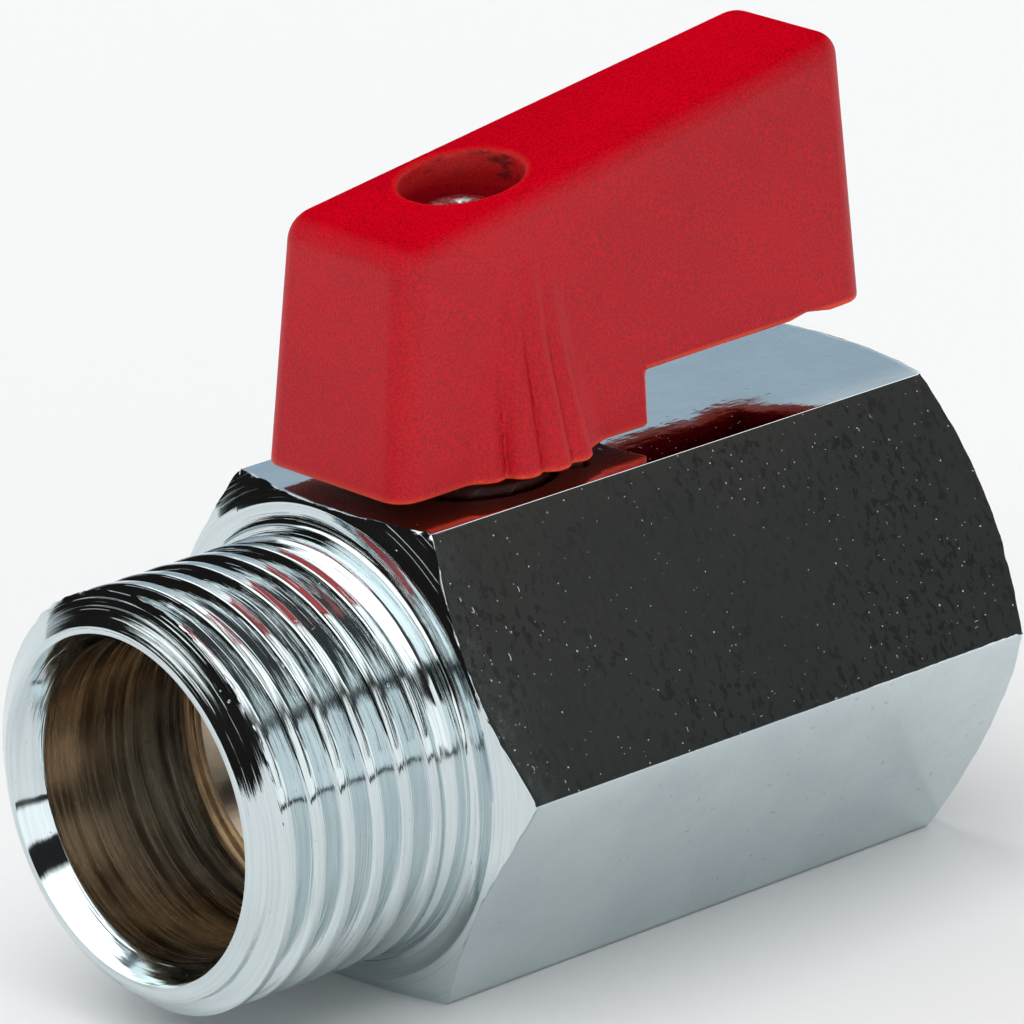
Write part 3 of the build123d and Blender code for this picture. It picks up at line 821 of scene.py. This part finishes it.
def build_lever(finish):
    """The moulded handle, with its surface normals taken from the field."""
    axes = (
        np.arange(SKIRT_LEFT_X - 2 * GRID, TIP_BOTTOM_X + 3 * GRID, GRID),
        np.arange(-COVER_R - 1, COVER_R + 1 + GRID, GRID),
        np.arange(SKIRT_BOTTOM - 2 * GRID, TOP_HEIGHT + TOP_SLOPE * TIP_TOP_X + 3 * GRID, GRID),
    )
    points, quads = skin(lever_field, axes)
    normals = field_slope(lever_field, points)
    normals /= np.linalg.norm(normals, axis=1)[:, None]
    lever = mesh_object("moulded_lever", points + (0, 0, FLOW), quads.tolist(), [finish])
    x, y, z = points.T
    # Mask of the painted edge highlight: near the lower edges, the notch edge and the recess lip.
    underside = np.where(x > SKIRT_RIGHT_X, ARM_UNDERSIDE, SKIRT_BOTTOM)
    lower = 1 - smoothstep(z - underside, 0.15, 0.34)
    notch_edge = (1 - smoothstep(np.abs(x - SKIRT_RIGHT_X), 0.05, 0.26)) * (z < ARM_UNDERSIDE)
    reach = np.hypot(x, y)
    recess_edge = (1 - smoothstep(np.abs(reach - RECESS_R - 0.1), 0.05, 0.3)) * (z > WEB_TOP + 2.5)
    mark(lever, "rim", np.maximum(np.maximum(lower, notch_edge), 0.15 * recess_edge))
    in_recess = (reach < RECESS_R + 0.05) & (z > WEB_TOP)
    mark(lever, "dirt", in_recess * smoothstep(x + y, 0.5, 2.5))
    # Mask of the painted shade: the hollow core, the stem pocket, faces turned downward and the
    # deeper part of the recess, darkened in the finish as if unlit.
    in_core = (x > CORE_LEFT_X - 0.1) & (x < CORE_RIGHT_X + 0.1) & (np.abs(y) < CORE_HALF + 0.1)
    in_core &= z < TOP_HEIGHT + TOP_SLOPE * x - CORE_ROOF + 0.1
    inward = x * normals[:, 0] + y * normals[:, 1] < -0.3 * reach
    in_pocket = (reach < POCKET_R + 0.1) & (z < WEB_BOTTOM) & inward
    below = smoothstep(-normals[:, 2], 0.75, 0.95)
    recess_depth = smoothstep(TOP_HEIGHT + TOP_SLOPE * x - z, 0.3, 1.6)
    inner = np.maximum(in_core | in_pocket, 0.85 * below)
    mark(lever, "inner", np.maximum(inner, 0.6 * recess_depth * in_recess))
    lever.data.shade_smooth()
    lever.data.normals_split_custom_set_from_vertices(normals.tolist())
    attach(lever, "lever")
    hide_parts("lever_handle")
    return lever


build_body()
build_lever(red_plastic())

# ---- finishes of the pieces that keep their CAD shape -----------------------------------------
WHITE = ((0.82, 0.82, 0.79), 0.0, (0.4, 0.55), 1500.0, 0.00001)
RUBBER = ((0.02, 0.02, 0.02), 0.0, (0.4, 0.6), 3000.0, 0.00001)
finishes = {
    "handle_screw": plain("zinc_screw", (0.72, 0.74, 0.73), 1.0, (0.12, 0.3), 2500.0, 0.00001),
    "seat_retainer": bare_brass("brass_retainer", (0.50, 0.41, 0.31), (0.20, 0.155, 0.11)),
    "stem": bare_brass("brass_stem", (0.62, 0.46, 0.24), (0.30, 0.20, 0.10)),
    "ball": plain("chrome_ball", (0.60, 0.64, 0.64), 1.0, (0.04, 0.08), 900.0, 0.000002),
    "seat_male_side": plain("white_seat_a", *WHITE),
    "seat_female_side": plain("white_seat_b", *WHITE),
    "stem_thrust_washer": plain("white_washer", *WHITE),
    "stem_o_ring_lower": plain("rubber_a", *RUBBER),
    "stem_o_ring_upper": plain("rubber_b", *RUBBER),
}
for name, finish in finishes.items():
    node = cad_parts[name]
    if not node.material_slots:
        node.data.materials.append(finish)
    for slot in node.material_slots:
        slot.material = finish

# ---- floor and studio light ------------------------------------------------------------------
FLOOR_HALF = 3000
CARD_CENTRE = np.array([52.13, -55.22, 35.82 + FLOW])
CARD_ACROSS, CARD_UP = np.array([0.7079, 0.7063, 0.0]), np.array([-0.3009, 0.3016, 0.9047])
CARD_OUTLINE = ((-9.0, 25), (-16.2, 6.5), (-22.4, -10), (-26, -21), (28, -21), (28, 25))


def build_floor():
    finish, n = material("studio_floor")
    surface(n, Base_Color=(0.93, 0.93, 0.93), Roughness=0.9, Specular_IOR_Level=0.1)
    turns = ((-1, -1), (1, -1), (1, 1), (-1, 1))
    corners = [(x * FLOOR_HALF, y * FLOOR_HALF, 0) for x, y in turns]
    mesh_object("floor", corners, [(0, 1, 2, 3)], [finish])


def build_card():
    """A dark card at the right, which only the near upper flat mirrors."""
    finish, n = material("studio_card")
    height = n.axes(n.add("ShaderNodeTexCoord", out="Object"))[2]
    grey = n.blend(n.remap(height, 0.03, 0.07), (0.045, 0.044, 0.042), (0.060, 0.055, 0.050))
    surface(
        n,
        Base_Color=(0.0, 0.0, 0.0),
        Roughness=1.0,
        Specular_IOR_Level=0.0,
        Emission_Color=grey,
        Emission_Strength=1.0,
    )
    corners = [CARD_CENTRE + side * CARD_ACROSS + rise * CARD_UP for side, rise in CARD_OUTLINE]
    card = mesh_object("dark_card", corners, [tuple(range(len(corners)))], [finish])
    card.visible_camera = False


def paint_studio():
    """Round the object: a plain low wall, dark screens to the front right and the back left, a
    pale blue backdrop behind, a low light with a dark gap above it in front, and an overhead soft
    box. Angles are in degrees."""
    world = bpy.data.worlds.new("studio")
    bpy.context.scene.world = world
    world.use_nodes = True
    n = Nodes(world.node_tree)
    ray_x, ray_y, ray_z = n.axes(n.add("ShaderNodeTexCoord", out="Generated"))
    rise = n.math("MULTIPLY", n.math("ARCSINE", ray_z), 180 / math.pi)
    heading = n.math("MULTIPLY", n.math("ARCTAN2", ray_y, ray_x), 180 / math.pi)

    def arc_mask(centre, half, soft):
        """1 near a heading, fading over soft degrees."""
        away = n.math("WRAP", n.math("SUBTRACT", heading, centre), -180.0, 180.0)
        return n.remap(n.math("ABSOLUTE", away), half - soft / 2, half + soft / 2, 1.0, 0.0)

    def rise_mask(low, high, soft):
        """1 between two rises, fading over soft degrees."""
        above = n.remap(rise, low - soft / 2, low + soft / 2)
        below = n.remap(rise, high - soft / 2, high + soft / 2, 1.0, 0.0)
        return n.math("MULTIPLY", above, below)

    right_front = arc_mask(-40, 46, 18)
    wall = n.blend(right_front, (0.55, 0.57, 0.58), (1.15, 1.16, 1.17))
    screen = n.math("MULTIPLY", right_front, n.remap(rise, 34.0, 36.0))
    wall = n.blend(screen, wall, (0.10, 0.10, 0.097))
    foot = n.math("MULTIPLY", right_front, n.remap(rise, 1.6, 2.6, 1.0, 0.0))
    wall = n.blend(foot, wall, (0.03, 0.03, 0.03))
    wall = n.blend(arc_mask(157, 60, 8), wall, (0.012, 0.011, 0.010))
    glow = n.blend(n.remap(rise, 16, 32), (0.38, 0.475, 0.57), (0.70, 0.75, 0.78))
    glow = n.blend(n.remap(rise, 32, 44), glow, (1.0, 1.02, 1.03))
    wall = n.blend(arc_mask(52, 38, 14), wall, glow)
    front = arc_mask(-108, 26, 10)
    wall = n.blend(front, wall, (0.02, 0.02, 0.02))
    wall = n.blend(n.math("MULTIPLY", front, rise_mask(4, 25, 3)), wall, (1.25, 1.26, 1.27))

    # The soft box overhead has a dark gap across it, and its lower edge dips away from the front.
    overhead = n.blend(n.remap(rise, 45, 70), (1.66, 1.67, 1.67), (2.1, 2.1, 2.1))
    across = n.math("DIVIDE", ray_x, n.math("MAXIMUM", ray_z, 0.01))
    gap = n.math("MULTIPLY", n.remap(across, 0.10, 0.18), n.remap(across, 0.68, 0.76, 1.0, 0.0))
    overhead = n.blend(gap, overhead, (0.07, 0.065, 0.065))
    tilt = n.math("COSINE", n.math("MULTIPLY", n.math("ADD", heading, 30.0), math.pi / 180))
    front_lip = n.math("MULTIPLY", front, 8.0)
    over = n.math("SUBTRACT", rise, n.math("ADD", n.math("MULTIPLY", tilt, 4.5), front_lip))
    sky = n.blend(n.remap(over, 33.5, 38.5), wall, overhead)
    everything = n.blend(n.remap(rise, -1.0, 0.5), (0.95, 0.95, 0.95), sky)
    backdrop = n.add("ShaderNodeBackground", {0: everything})
    output = n.tree.nodes.new("ShaderNodeOutputWorld")
    n.tree.links.new(backdrop, output.inputs[0])


build_floor()
build_card()
paint_studio()
